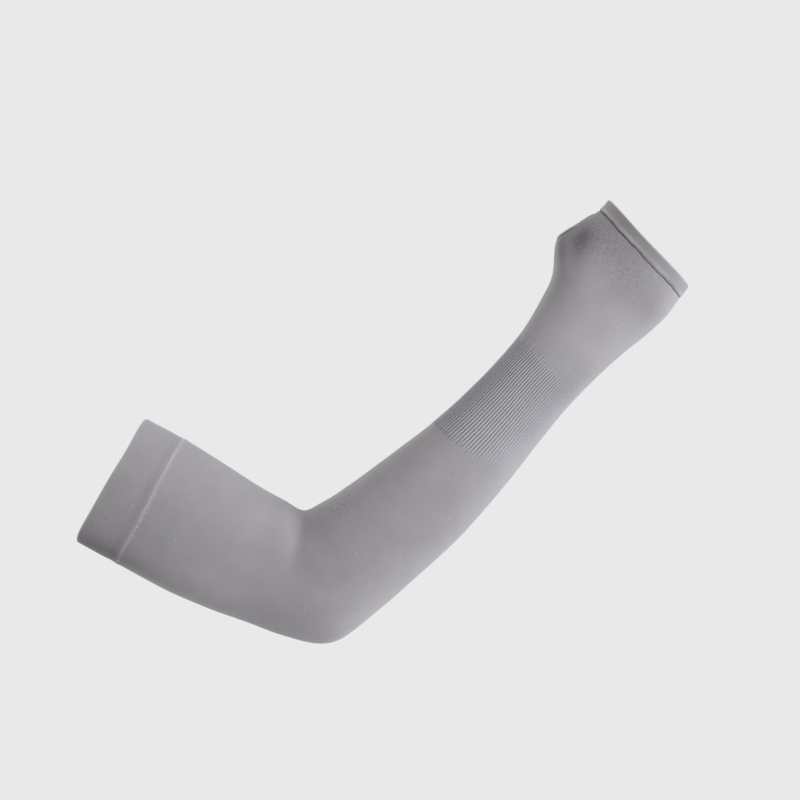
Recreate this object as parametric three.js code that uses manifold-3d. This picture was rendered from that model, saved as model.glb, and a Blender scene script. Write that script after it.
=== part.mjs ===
// Sun protection arm sleeve: a knitted tube that keeps the shape of a bent left arm, with a
// doubled cuff at the upper arm, a ribbed wrist and a hand end with a thumb hole and a turned hem.
// Millimetres, +Z up. The origin is the middle of the cuff's mouth, where the upper arm goes in.
// X and Z span the plane of the bend, and the palm side of the sleeve faces -Y.

import * as THREE from 'three';
import Module from 'manifold-3d';

const wasm = await Module();
wasm.setup();

// Walls, and the gap between neighbouring pieces
const KNIT_WALL = 1.2;
const DOUBLED_WALL = 2.2;
const GAP = 0.3;

// Cuff seam: a linked ridge with a soft trough on the cuff's side
const SEAM_WIDTH = 3.2;
const RIDGE_HEIGHT = 0.25;
const RIDGE_SPREAD = 1.3;
const RIDGE_AFTER = 0.4;
const TROUGH_DEPTH = 0.22;
const TROUGH_SPREAD = 2.8;
const TROUGH_BEFORE = 4.8;

// Wrist ribs: one crest and one furrow each, all the way round, the furrow deeper than the crest
// is high
const RIB_COUNT = 92;
const RIB_HEIGHT = 0.5;
const RIB_SUNK_SHARE = 0.6;
const RIB_FADE = 10;

// Hand hem: a low roll along its seam and a flat band to the edge
const HEM_PROUD = 0.15;
const ROLL_HEIGHT = 0.28;
const ROLL_SPREAD = 1;
const ROLL_AFTER = 1.9;
const PALM_HEM_DIP = 1.5;
const PALM_HEM_DIP_SPREAD = 45;

// Thumb hole on the radial side: a rounded slot with a rolled edge
const THUMB_LENGTH = 28;
const THUMB_WIDTH = 20;
const THUMB_AHEAD_OF_HEM = 2.5;
const THUMB_SHIFT_FRONT = -5.2;
const THUMB_SLANT = 0.1;
const THUMB_SQUARE = 3.2;
const THUMB_EDGE_RADIUS = 1.1;
const THUMB_EDGE_SIDES = 6;
const THUMB_EDGE_STEPS = 36;
const THUMB_CUT = 14;

// Facets: columns round the sleeve, the longest step and widest turn from row to row, and the
// corners of a turned edge
const TUBE_COLUMNS = 36;
const CUFF_COLUMNS = 40;
const HAND_COLUMNS = 44;
const TUBE_STEP = 14;
const HAND_STEP = 10;
const CUFF_STEP = 6;
const SEAM_STEP = 1;
const HEM_STEP = 1.4;
const TURN_STEP = 7;
const EDGE_CORNERS = 3;

// Cross-sections along the sleeve. x and z place the middle of a section, rise is the angle of
// the sleeve's run above the horizontal, width is measured in the plane of the bend and depth
// across it, square is the power of the oval, 2 for a true ellipse, and twist is how far the arm
// has turned there, in degrees that bring the elbow side towards the palm side.
const SECTIONS = [
  { at: 'mouth', x: 0.0, z: 0.0, rise: -29, width: 91.6, depth: 88, square: 2.25, twist: 0 },
  { at: 'cuff_seam', x: 25.3, z: -13.8, rise: -28.7, width: 91.8, depth: 89, square: 2.25, twist: 0 },
  { at: 'upper_arm', x: 56.2, z: -31.6, rise: -28, width: 89.6, depth: 87, square: 2.3, twist: 0 },
  { at: 'upper_arm_low', x: 79.0, z: -43.6, rise: -25, width: 85.6, depth: 83, square: 2.3, twist: 0 },
  { at: 'above_crook', x: 101.2, z: -53.2, rise: -16, width: 82.8, depth: 79, square: 2.25, twist: 0 },
  { at: 'crook_upper', x: 117.4, z: -60.0, rise: -5, width: 83.4, depth: 76, square: 2.2, twist: 0 },
  { at: 'elbow', x: 128.9, z: -62.3, rise: 5, width: 86.2, depth: 75, square: 2.15, twist: 0 },
  { at: 'crook_lower', x: 140.6, z: -59.4, rise: 15, width: 85.2, depth: 75, square: 2.2, twist: 0 },
  { at: 'below_crook', x: 154.2, z: -50.2, rise: 26, width: 79.6, depth: 75, square: 2.3, twist: 0 },
  { at: 'forearm_high', x: 169.6, z: -38.5, rise: 34, width: 75.2, depth: 74, square: 2.4, twist: 0 },
  { at: 'forearm', x: 203.8, z: -10.1, rise: 41, width: 69.8, depth: 67, square: 2.55, twist: 0 },
  { at: 'rib_start', x: 230.9, z: 15.3, rise: 44.5, width: 62.4, depth: 57, square: 2.6, twist: 0 },
  { at: 'rib_middle', x: 255.9, z: 42.3, rise: 47.5, width: 56.2, depth: 47, square: 2.65, twist: 0 },
  { at: 'wrist', x: 275.0, z: 63.8, rise: 48.3, width: 54.0, depth: 43.5, square: 2.65, twist: 0 },
  { at: 'rib_end', x: 288.4, z: 79.5, rise: 47, width: 55.6, depth: 43.5, square: 2.65, twist: -4 },
  { at: 'heel_of_hand', x: 300.2, z: 94.9, rise: 44.5, width: 61.0, depth: 44, square: 2.65, twist: -8 },
  { at: 'thumb_swell', x: 309.6, z: 107.6, rise: 43.2, width: 68.2, depth: 44.6, square: 2.5, twist: -7 },
  { at: 'thumb_root', x: 318.5, z: 125.5, rise: 42.6, width: 85.2, depth: 45.8, square: 2.3, twist: -1 },
  { at: 'palm', x: 332.5, z: 137.3, rise: 41.8, width: 83.2, depth: 47.5, square: 2.15, twist: 7 },
  { at: 'hem_seam', x: 343.0, z: 146.9, rise: 41.9, width: 78.0, depth: 50, square: 2.0, twist: 11 },
  { at: 'hem_edge', x: 349.1, z: 154.2, rise: 42.2, width: 77.0, depth: 54, square: 2.0, twist: 11 },
];

// Soft folds pressed into the wall. run and around place a fold's middle, at mm along from the
// named section and degrees round from the elbow side towards the palm side; slant is how many
// degrees it moves round for each mm along, lean how many mm it moves along for each degree round,
// long and wide are its half lengths along (mm) and round (degrees), and depth is how far it sinks,
// or swells where it is negative.
const FOLDS = [
  // The crook's crease, the swell above it, and the crease behind the arm
  { at: 'elbow', run: -8.5, around: 126, slant: 0, lean: 0.17, long: 8.5, wide: 32, depth: 1.35 },
  { at: 'elbow', run: -23, around: 132, slant: 0, lean: 0.17, long: 8, wide: 26, depth: -0.3 },
  { at: 'elbow', run: 0, around: 234, slant: 0, lean: 0, long: 9, wide: 32, depth: 2.2 },
  // The point of the elbow
  { at: 'elbow', run: 6.5, around: 0, slant: 0, lean: 0, long: 7.5, wide: 35, depth: -1.6 },
  // The hollow beside the thumb hole
  { at: 'thumb_root', run: 9, around: 143, slant: 0.6, lean: 0, long: 12, wide: 15, depth: 3.6 },
];

const COLUMN_NAMES = ['x', 'z', 'rise', 'width', 'depth', 'square', 'twist'];
const RUNS = SECTIONS.reduce((runs, row, i) => {
  const before = SECTIONS[Math.max(i - 1, 0)];
  runs.push((runs[i - 1] ?? 0) + Math.hypot(row.x - before.x, row.z - before.z));
  return runs;
}, []);

function runOf(name) {
  return RUNS[SECTIONS.findIndex((row) => row.at === name)];
}

function slopeAt(i, column) {
  const low = Math.max(i - 1, 0);
  const high = Math.min(i + 1, SECTIONS.length - 1);
  return (SECTIONS[high][column] - SECTIONS[low][column]) / (RUNS[high] - RUNS[low]);
}

// The section at a distance along the sleeve, by cubic curves through the table's columns
function sectionAt(run) {
  const last = SECTIONS.length - 2;
  const i = THREE.MathUtils.clamp(RUNS.findIndex((r) => r > run) - 1, 0, last);
  const row = run >= RUNS[last + 1] ? last : i;
  const span = RUNS[row + 1] - RUNS[row];
  const t = (run - RUNS[row]) / span;
  const section = {};
  for (const column of COLUMN_NAMES) {
    const share = 3 * t ** 2 - 2 * t ** 3;
    const start = (t - 2 * t ** 2 + t ** 3) * span * slopeAt(row, column);
    const end = (t ** 3 - t ** 2) * span * slopeAt(row + 1, column);
    const straight = SECTIONS[row][column] * (1 - share) + SECTIONS[row + 1][column] * share;
    section[column] = straight + start + end;
  }
  return section;
}

function bell(value, spread) {
  return Math.exp(-((value / spread) ** 2));
}

function foldDepth(run, around) {
  return FOLDS.reduce((sum, fold) => {
    const along = run - runOf(fold.at) - fold.run;
    const middle = fold.around + fold.slant * along;
    const turn = THREE.MathUtils.euclideanModulo(around - middle + 180, 360) - 180;
    return sum + fold.depth * bell(along - fold.lean * turn, fold.long) * bell(turn, fold.wide);
  }, 0);
}

// How far the rows bow towards the wrist on the palm side, more and more up to the hem
function hemDip(run, around) {
  const growth = THREE.MathUtils.smoothstep(run, runOf('thumb_swell'), runOf('hem_edge'));
  return growth * PALM_HEM_DIP * bell(around - 90, PALM_HEM_DIP_SPREAD);
}

function ovalPower(value, square) {
  return Math.sign(value) * Math.abs(value) ** (2 / square);
}

// A point of the sleeve: run along it, around it in degrees from the elbow side, inset below the
// knit's outer face
function sleevePoint(run, around, inset) {
  const place = run - hemDip(run, around);
  const section = sectionAt(place);
  const turn = THREE.MathUtils.degToRad(around);
  const rise = THREE.MathUtils.degToRad(section.rise);
  const sink = inset + foldDepth(place, around);
  const across = (section.width / 2 - sink) * ovalPower(Math.cos(turn), section.square);
  const front = (section.depth / 2 - sink) * ovalPower(Math.sin(turn), section.square);
  const twisted = new THREE.Vector2(across, front);
  twisted.rotateAround(new THREE.Vector2(), THREE.MathUtils.degToRad(section.twist));
  const x = section.x + twisted.x * Math.sin(rise);
  const z = section.z - twisted.x * Math.cos(rise);
  return new THREE.Vector3(x, -twisted.y, z);
}

// A closed surface through rings of points, each ring joined to the next and the last to the first
function ringSurface(rings) {
  const count = rings[0].length;
  const index = [];
  rings.forEach((ring, row) => {
    const next = (row + 1) % rings.length;
    ring.forEach((point, i) => {
      const j = (i + 1) % count;
      const [a, b] = [row * count + i, row * count + j];
      const [c, d] = [next * count + i, next * count + j];
      index.push(a, d, b, a, c, d);
    });
  });
  const geometry = new THREE.BufferGeometry().setFromPoints(rings.flat());
  geometry.setIndex(index);
  geometry.computeVertexNormals();
  return geometry;
}

// A closed band round the sleeve: the outline of its wall, a loop of corners with run and inset,
// carried round all columns. A corner's ribs is the height that every second column is raised by.
function band(outline, columns) {
  return ringSurface(outline.map(({ run, inset, ribs = 0 }) => Array.from({ length: columns }, (_, i) => (
    sleevePoint(run, (360 * i) / columns, inset - (i % 2) * ribs)
  ))));
}

// Distances along the sleeve between two ends, closer together where it bends
function stepsBetween(from, to, step) {
  const knots = [from, ...RUNS.filter((run) => run > from + GAP && run < to - GAP), to];
  const steps = [from];
  for (let i = 1; i < knots.length; i += 1) {
    const span = knots[i] - knots[i - 1];
    const turn = Math.abs(sectionAt(knots[i]).rise - sectionAt(knots[i - 1]).rise);
    const count = Math.ceil(Math.max(span / step, turn / TURN_STEP));
    for (let k = 1; k <= count; k += 1) {
      steps.push(knots[i - 1] + (span * k) / count);
    }
  }
  return steps;
}

// A plain knitted wall between two distances along the sleeve
function wallOutline(from, to, step) {
  const outer = stepsBetween(from, to, step).map((run) => ({ run, inset: 0 }));
  const inner = outer.map(({ run }) => ({ run, inset: KNIT_WALL })).reverse();
  return [...outer, ...inner];
}

// The corners of a wall's turned edge, from its outer face to its inner one. The turn's middle is
// at run and inset, and ahead is 1 for an edge towards the hand and -1 for one towards the cuff.
function turnedEdge(run, inset, ahead) {
  return Array.from({ length: EDGE_CORNERS }, (_, i) => {
    const angle = (Math.PI * (i + 1)) / (EDGE_CORNERS + 1);
    const radius = DOUBLED_WALL / 2;
    return { run: run + ahead * radius * Math.sin(angle), inset: inset - radius * Math.cos(angle) };
  });
}

// The outer face beside the cuff seam: a soft trough on the cuff's side, then the ridge
function seamInset(run) {
  const ahead = run - runOf('cuff_seam');
  const ridge = RIDGE_HEIGHT * bell(ahead - RIDGE_AFTER, RIDGE_SPREAD);
  return TROUGH_DEPTH * bell(ahead + TROUGH_BEFORE, TROUGH_SPREAD) - ridge;
}

function upperCuff() {
  const end = runOf('cuff_seam') - SEAM_WIDTH / 2 - GAP;
  const turn = DOUBLED_WALL / 2;
  const outer = stepsBetween(turn, end, CUFF_STEP).map((run) => ({ run, inset: seamInset(run) }));
  const inner = stepsBetween(turn, end, TUBE_STEP).map((run) => ({ run, inset: DOUBLED_WALL }));
  return band([...outer, ...inner.reverse(), ...turnedEdge(turn, turn, -1).reverse()], CUFF_COLUMNS);
}

function cuffSeam() {
  const from = runOf('cuff_seam') - SEAM_WIDTH / 2;
  const to = from + SEAM_WIDTH;
  const outer = stepsBetween(from, to, SEAM_STEP).map((run) => ({ run, inset: seamInset(run) }));
  const inner = [to, from].map((run) => ({ run, inset: KNIT_WALL }));
  return band([...outer, ...inner], CUFF_COLUMNS);
}

function armTube() {
  const from = runOf('cuff_seam') + SEAM_WIDTH / 2 + GAP;
  const to = runOf('rib_start') - GAP / 2;
  return band(wallOutline(from, to, TUBE_STEP), TUBE_COLUMNS);
}

// The ribs rise out of the plain knit over a short fade at both ends of the wrist
function wristRib() {
  const from = runOf('rib_start') + GAP / 2;
  const to = runOf('rib_end') - GAP / 2;
  const middle = (from + to) / 2;
  const outer = [from, from + RIB_FADE, middle, to - RIB_FADE, to].map((run) => {
    const height = RIB_HEIGHT * Math.min(1, (run - from) / RIB_FADE, (to - run) / RIB_FADE);
    return { run, inset: height * RIB_SUNK_SHARE, ribs: height };
  });
  const inner = [to, middle, from].map((run) => ({ run, inset: KNIT_WALL + RIB_HEIGHT * RIB_SUNK_SHARE }));
  return band([...outer, ...inner], RIB_COUNT * 2);
}

// The hem stands a little proud of the mitt, with a low roll beside its seam
function handHem() {
  const from = runOf('hem_seam') + GAP / 2;
  const to = runOf('hem_edge') - DOUBLED_WALL / 2;
  const inside = DOUBLED_WALL - HEM_PROUD;
  const outer = stepsBetween(from, to, HEM_STEP).map((run) => {
    const roll = ROLL_HEIGHT * bell(run - runOf('hem_seam') - ROLL_AFTER, ROLL_SPREAD);
    return { run, inset: -HEM_PROUD - roll };
  });
  const inner = [to, from].map((run) => ({ run, inset: inside }));
  return band([...outer, ...turnedEdge(to, inside - DOUBLED_WALL / 2, 1), ...inner], HAND_COLUMNS);
}

// The thumb hole's middle, as a distance along the sleeve
const THUMB_RUN = runOf('hem_seam') - THUMB_AHEAD_OF_HEM - THUMB_EDGE_RADIUS - THUMB_LENGTH / 2;

// The hole's edge: a rounded slot laid on the radial side of the sleeve, at an inset below the
// knit's outer face
class ThumbEdgeCurve extends THREE.Curve {
  constructor(inset) {
    super();
    this.inset = inset;
  }

  getPoint(t, target = new THREE.Vector3()) {
    const turn = t * 2 * Math.PI;
    const ahead = (THUMB_LENGTH / 2) * ovalPower(Math.cos(turn), THUMB_SQUARE);
    const aside = (THUMB_WIDTH / 2) * ovalPower(Math.sin(turn), THUMB_SQUARE);
    const front = THUMB_SHIFT_FRONT + aside - THUMB_SLANT * ahead;
    const section = sectionAt(THUMB_RUN + ahead);
    const sine = ovalPower((2 * front) / section.depth, 4 / section.square);
    const around = 180 - THREE.MathUtils.radToDeg(Math.asin(sine));
    return target.copy(sleevePoint(THUMB_RUN + ahead, around, this.inset));
  }
}

// A round cord laid along the hole's edge, in the middle of the wall
function thumbEdge(radius) {
  const curve = new ThumbEdgeCurve(KNIT_WALL / 2);
  const frames = curve.computeFrenetFrames(THUMB_EDGE_STEPS, true);
  const rings = Array.from({ length: THUMB_EDGE_STEPS }, (_, step) => {
    const middle = curve.getPointAt(step / THUMB_EDGE_STEPS);
    return Array.from({ length: THUMB_EDGE_SIDES }, (_side, i) => {
      const angle = (-2 * Math.PI * i) / THUMB_EDGE_SIDES;
      const point = middle.clone().addScaledVector(frames.normals[step], radius * Math.cos(angle));
      return point.addScaledVector(frames.binormals[step], radius * Math.sin(angle));
    });
  });
  return ringSurface(rings);
}

// The space inside the thumb hole: the outline of its edge, carried straight through the wall
function thumbPlug() {
  const rim = new ThumbEdgeCurve(KNIT_WALL / 2).getSpacedPoints(THUMB_EDGE_STEPS).slice(0, -1);
  const outer = new ThumbEdgeCurve(0).getSpacedPoints(THUMB_EDGE_STEPS).slice(0, -1);
  const centre = new THREE.Vector3();
  const outwards = new THREE.Vector3();
  rim.forEach((point, i) => {
    centre.addScaledVector(point, 1 / rim.length);
    outwards.add(outer[i]).sub(point);
  });
  outwards.normalize();
  const rise = THREE.MathUtils.degToRad(sectionAt(THUMB_RUN).rise);
  const across = outwards.clone().cross(new THREE.Vector3(Math.cos(rise), 0, Math.sin(rise))).normalize();
  const along = across.clone().cross(outwards);
  const corners = rim.map((point) => {
    const offset = point.clone().sub(centre);
    return new THREE.Vector2(offset.dot(along), offset.dot(across));
  });
  const plug = new THREE.ExtrudeGeometry(new THREE.Shape(corners), {
    depth: 2 * THUMB_CUT,
    bevelEnabled: false,
  });
  plug.translate(0, 0, -THUMB_CUT);
  plug.applyMatrix4(new THREE.Matrix4().makeBasis(along, across, outwards));
  return plug.translate(centre.x, centre.y, centre.z);
}

function toSolid(geometry) {
  const keys = new Map();
  const points = [];
  const position = geometry.getAttribute('position');
  const merged = Array.from({ length: position.count }, (_, i) => {
    const point = [position.getX(i), position.getY(i), position.getZ(i)];
    const key = point.map((v) => v.toFixed(4)).join();
    if (!keys.has(key)) {
      keys.set(key, points.length / 3);
      points.push(...point);
    }
    return keys.get(key);
  });
  const order = geometry.index ? Array.from(geometry.index.array) : merged.map((_, i) => i);
  return new wasm.Manifold(new wasm.Mesh({
    numProp: 3,
    vertProperties: new Float32Array(points),
    triVerts: new Uint32Array(order.map((i) => merged[i])),
  }));
}

function toGeometry(solid) {
  const mesh = solid.getMesh();
  const geometry = new THREE.BufferGeometry();
  geometry.setAttribute('position', new THREE.Float32BufferAttribute(mesh.vertProperties, 3));
  geometry.setIndex(Array.from(mesh.triVerts));
  geometry.computeVertexNormals();
  return geometry;
}

function handMitt() {
  const from = runOf('rib_end') + GAP / 2;
  const to = runOf('hem_seam') - GAP / 2;
  const wall = toSolid(band(wallOutline(from, to, HAND_STEP), HAND_COLUMNS));
  const hole = toSolid(thumbPlug());
  const room = toSolid(thumbEdge(THUMB_EDGE_RADIUS + GAP));
  return toGeometry(wall.subtract(hole).subtract(room));
}

function knit(name, geometry, color) {
  const material = new THREE.MeshStandardMaterial({ color, roughness: 0.9, metalness: 0 });
  const mesh = new THREE.Mesh(geometry, material);
  mesh.name = name;
  return mesh;
}

const sleeve = new THREE.Group();
sleeve.add(knit('upper_cuff', upperCuff(), '#979497'));
sleeve.add(knit('cuff_seam', cuffSeam(), '#9b999b'));
sleeve.add(knit('arm_tube', armTube(), '#979497'));
sleeve.add(knit('wrist_rib', wristRib(), '#979498'));
sleeve.add(knit('hand_mitt', handMitt(), '#979497'));
sleeve.add(knit('hand_hem', handHem(), '#979497'));
sleeve.add(knit('thumb_edge', thumbEdge(THUMB_EDGE_RADIUS), '#9b999b'));

export default sleeve;
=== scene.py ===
"""Sun protection arm sleeve: the knit of each piece, in the bent form that the sleeve is worn in.

Sizes are millimetres, and a mesh gets them as metres. The sleeve's run goes from the cuff's mouth
to the hem, and places round it are degrees from the elbow side towards the palm side.
"""
import math

import bpy
import numpy as np
from mathutils import Matrix, Vector


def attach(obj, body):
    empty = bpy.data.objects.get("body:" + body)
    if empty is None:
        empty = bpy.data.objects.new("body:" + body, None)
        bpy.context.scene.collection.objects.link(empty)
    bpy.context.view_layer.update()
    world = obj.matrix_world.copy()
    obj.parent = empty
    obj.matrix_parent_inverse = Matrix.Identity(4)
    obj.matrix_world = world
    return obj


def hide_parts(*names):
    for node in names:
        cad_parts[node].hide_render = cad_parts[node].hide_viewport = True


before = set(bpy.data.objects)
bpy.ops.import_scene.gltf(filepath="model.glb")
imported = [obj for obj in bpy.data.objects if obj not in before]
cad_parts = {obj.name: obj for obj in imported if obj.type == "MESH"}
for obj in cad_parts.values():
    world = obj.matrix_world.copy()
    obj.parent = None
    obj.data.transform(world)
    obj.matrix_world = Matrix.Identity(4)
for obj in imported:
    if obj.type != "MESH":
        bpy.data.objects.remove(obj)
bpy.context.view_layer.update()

MM = 0.001

# Walls, and the painted shading beside the seam: how much darker the knit is painted for each mm that
# it sinks into the trough, and lighter for each mm that it rises on the ridge
KNIT_WALL = 1.2
DOUBLED_WALL = 2.2
SEAM_PAINTED_SHADING = 0.8

# The knit: one count of stitches goes all the way along, as on a round knitting machine, and the
# wrist ribs are two raised wales and two sunk ones each, sunk deeper than they rise. Each starts and
# ends a little sooner or later than the next.
RIBS = 92
WALES = 4 * RIBS
COURSE = 0.75
COLUMNS_PER_RIB = 6
RIB_HEIGHT = 0.5
RIB_SUNK_SHARE = 0.6
# Painted shade in the rib furrows and painted highlight on the rib crests
RIB_PAINTED_SHADING = 2.4
RIB_STAGGER = 2.0
RIB_SEED = 11
RIB_FADE_OUT = 6.0
# How far after the start of the wrist they start, how long they take to rise, how far before its end
# they end, and how high they stand: on the radial side, the palm and the elbow side
RIB_STARTS = (1.0, 3.5, 18.0)
RIB_FADES_IN = (3.0, 8.0, 14.0)
RIB_ENDS = (2.0, 5.5, 9.0)
RIB_SHARES = (1.0, 0.85, 0.05)
# The dark first course of the wrist: its tone, place and half lengths along and round
FIRST_COURSE_TONE = -1.0
FIRST_COURSE_AFTER = 0.5
FIRST_COURSE_SPREAD = 0.6
FIRST_COURSE_AROUND = 145.0
FIRST_COURSE_WIDE = 30.0

# Patterns of the knit, as cells for each wale, which is about 0.65 mm wide, and for each course: rows
# that differ in tone (22 by 1.5 mm), grain (1.3 mm), lint (a fleck in each 60 by 31 mm) and the ripples
# of slack knit (4 by 0.8 mm). Clouds of about 15 mm are cells for each metre.
ROW_CELLS = (0.03, 0.5, 1)
GRAIN_CELLS = 0.55
LINT_CELLS = (0.011, 0.024, 1)
LINT_TURN = 0.8
LINT_RADII = (0.006, 0.018)
RIPPLE_CELLS = (0.16, 0.95, 1)
CLOUD_CELLS = 65.0

# How much each pattern counts in the tone of the knit, where 0 is its dark colour and 1 its light one
ROW_TONE = 0.15
CLOUD_TONE = 0.4
LINT_TONE = 0.8
# Painted highlight on the stitch tops and painted shade between them; painted light and shade on the
# ripples of slack knit, lighter on their crests and darker in their hollows
STITCH_TOP_PAINTED_SHADING = 0.05
RIPPLE_PAINTED_SHADING = 2.4

# How high each pattern stands in mm, as a bump
ROW_RELIEF = 0.025
GRAIN_RELIEF = 0.05
STITCH_TOP_RELIEF = 0.008
RIPPLE_RELIEF = 0.3

# The swell of stretched knit
BROAD_SWELL = 0.14
FINE_SWELL = 0.05

# Cuff: a painted highlight along the rim, and a mouth that wanders up the sleeve in waves: degrees round,
# half width and amount
CUFF_RIM_PAINTED_HIGHLIGHT = 1.4
CUFF_RIM_SPREAD = 1.0
MOUTH_DRIFTS = ((35.0, 25.0, 1.0), (118.0, 22.0, -0.95))
MOUTH_DRIFT_REACH = 10.0

# Cuff seam: a linked ridge with a soft trough on the cuff's side and a row of small stitches
SEAM_WIDTH = 3.2
RIDGE_HEIGHT = 0.25
RIDGE_SPREAD = 1.3
RIDGE_AFTER = 0.4
TROUGH_DEPTH = 0.22
TROUGH_SPREAD = 2.8
TROUGH_BEFORE = 4.8
SEAM_STITCHES = 132
STITCH_LENGTH = 2.1
STITCH_WIDTH = 0.8
STITCH_HEIGHT = 0.6
# Painted highlight on each stitch
STITCH_PAINTED_HIGHLIGHT = 0.8
STITCH_SLANT = 35.0
STITCH_AFTER = 1.0
# Stitches differ in length, slant and painted highlight by up to these shares
STITCH_SEED = 5
LENGTH_JITTER = 0.3
SLANT_JITTER = 0.5
TONE_JITTER = 0.6
# Towards the thumb, between two angles, the painted highlight of the stitches and the painted shade in the
# gaps between them fade into the knit
STITCH_FADE = 0.8
STITCHES_FADE_BETWEEN = (70.0, 115.0)
GAP_PAINTED_SHADE = 1.3
GAP_AFTER = 1.2
GAP_SPREAD = 0.5
GAPS_FADE_BETWEEN = (60.0, 120.0)
# The ridge has a painted highlight along its crest, uneven round the ring, and it wanders up the sleeve in
# small waves, with a bow the other way on the palm side
CREST_PAINTED_HIGHLIGHT = 0.5
CREST_PAINTED_HIGHLIGHT_WAVE = 0.15
CREST_PAINTED_HIGHLIGHT_WAVES = 9
CREST_AFTER = 0.1
CREST_SPREAD = 0.6
SEAM_WAVE = 0.15
SEAM_WAVES = 11
SEAM_BOW = 1.1
SEAM_BOW_AROUND = 75.0
SEAM_BOW_WIDE = 30.0
SEAM_DRIFT_REACH = 8.0

# Hand hem: a narrow groove, a low roll along it and a flat band to the edge
HEM_PROUD = 0.15
GROOVE_DEPTH = 0.65
GROOVE_SPREAD = 0.4
ROLL_HEIGHT = 0.28
ROLL_SPREAD = 1.0
ROLL_AFTER = 1.9
PALM_AROUND = 90.0
PALM_HEM_DIP = 1.5
PALM_HEM_DIP_SPREAD = 45.0
# Waves of its seam: height, count round and phase in degrees
HEM_WAVES = ((0.3, 7, 0), (0.2, 19, 40))
HEM_WAVE_REACH = 3.0
# Painted shade in the groove, painted highlights on the roll and the edge, with what the thumb side adds
# between two angles, and how much darker the band is painted on the elbow side
HEM_TURNS_BETWEEN = (50.0, 130.0)
GROOVE_PAINTED_SHADE = -0.4
GROOVE_THUMB_PAINTED_SHADE = -1.6
GROOVE_PAINTED_SHADE_SPREAD = 0.5
ROLL_PAINTED_HIGHLIGHT = 0.1
ROLL_THUMB_PAINTED_HIGHLIGHT = 0.7
ROLL_PAINTED_HIGHLIGHT_WAVE = 0.25
ROLL_PAINTED_HIGHLIGHT_WAVES = 8
ROLL_PAINTED_HIGHLIGHT_SPREAD = 1.4
BAND_PAINTED_SHADE = 0.35
BAND_TURNS_BETWEEN = (30.0, 75.0)
HEM_EDGE_PAINTED_HIGHLIGHT = 0.4
HEM_EDGE_THUMB_PAINTED_HIGHLIGHT = 0.6
HEM_EDGE_SPREAD = 0.8

# Thumb hole on the radial side, with a rolled edge
THUMB_LENGTH = 28.0
THUMB_WIDTH = 20.0
THUMB_AHEAD_OF_HEM = 2.5
THUMB_SHIFT_FRONT = -5.2
THUMB_SLANT = 0.1
THUMB_SQUARE = 3.2
THUMB_CUT = 14.0
THUMB_EDGE_RADIUS = 1.1
THUMB_WRAPS = 64
WRAP_HEIGHT_SHARE = 0.09
WRAP_LEAN = 0.9
THREAD_COURSES = 6
# The edge's thread is a little lighter, with a painted highlight at the wrist end, between two places
# along the hole from -1 at the hem's end to 1, and the knit beside it has a painted shadow line there,
# between two runs from the hole's middle
THREAD_TONE = 0.2
THREAD_WRIST_PAINTED_HIGHLIGHT = 1.5
THREAD_TURNS_BETWEEN = (-0.2, 0.6)
THUMB_RIM_PAINTED_SHADOW = 2.0
THUMB_RIM_OFF = 0.7
THUMB_RIM_SPREAD = 0.9
THUMB_RIM_FADES_BETWEEN = (-8.0, 2.0)

# Facets: columns round each piece, and the longest steps along its outer and its inner face
CUFF_COLUMNS = 200
TUBE_COLUMNS_PER_RIB = 2
COLUMNS_PER_STITCH = 4
HAND_COLUMNS = 240
CUFF_STEPS = (0.5, 2.0)
TUBE_STEPS = (1.2, 4.0)
RIB_STEPS = (1.0, 4.0)
MITT_STEPS = (0.8, 2.5)
HEM_STEPS = (0.4, 2.0)
SEAM_STEP = 0.2
# Closer steps on both sides of the hem's groove, and how far from the seam they and the other rows begin
MITT_GROOVE_STEP = 0.15
HEM_GROOVE_STEP = 0.12
GROOVE_REACH = 1.0
MITT_PLAIN_REACH = 1.2
HEM_PLAIN_REACH = 1.3
HEM_INNER_REACH = 2.0
HALF_HEM_GAP = 0.05
# Corners of a turned edge, and the facets of the thumb hole
EDGE_ANGLES = np.radians(np.arange(15, 180, 15))
THUMB_PLUG_CORNERS = 96
THUMB_RIM_POINTS = 128
THUMB_EDGE_SIDES = 14
COLUMNS_PER_WRAP = 6
# Points and rows that girths are measured by, the distance within which edges are sewn together, in
# metres, and the angle below which faces look smooth
GIRTH_POINTS = 721
GIRTH_ROWS = 24
SEWN_WITHIN = 1e-6
SMOOTH_BELOW = math.radians(55)

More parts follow.
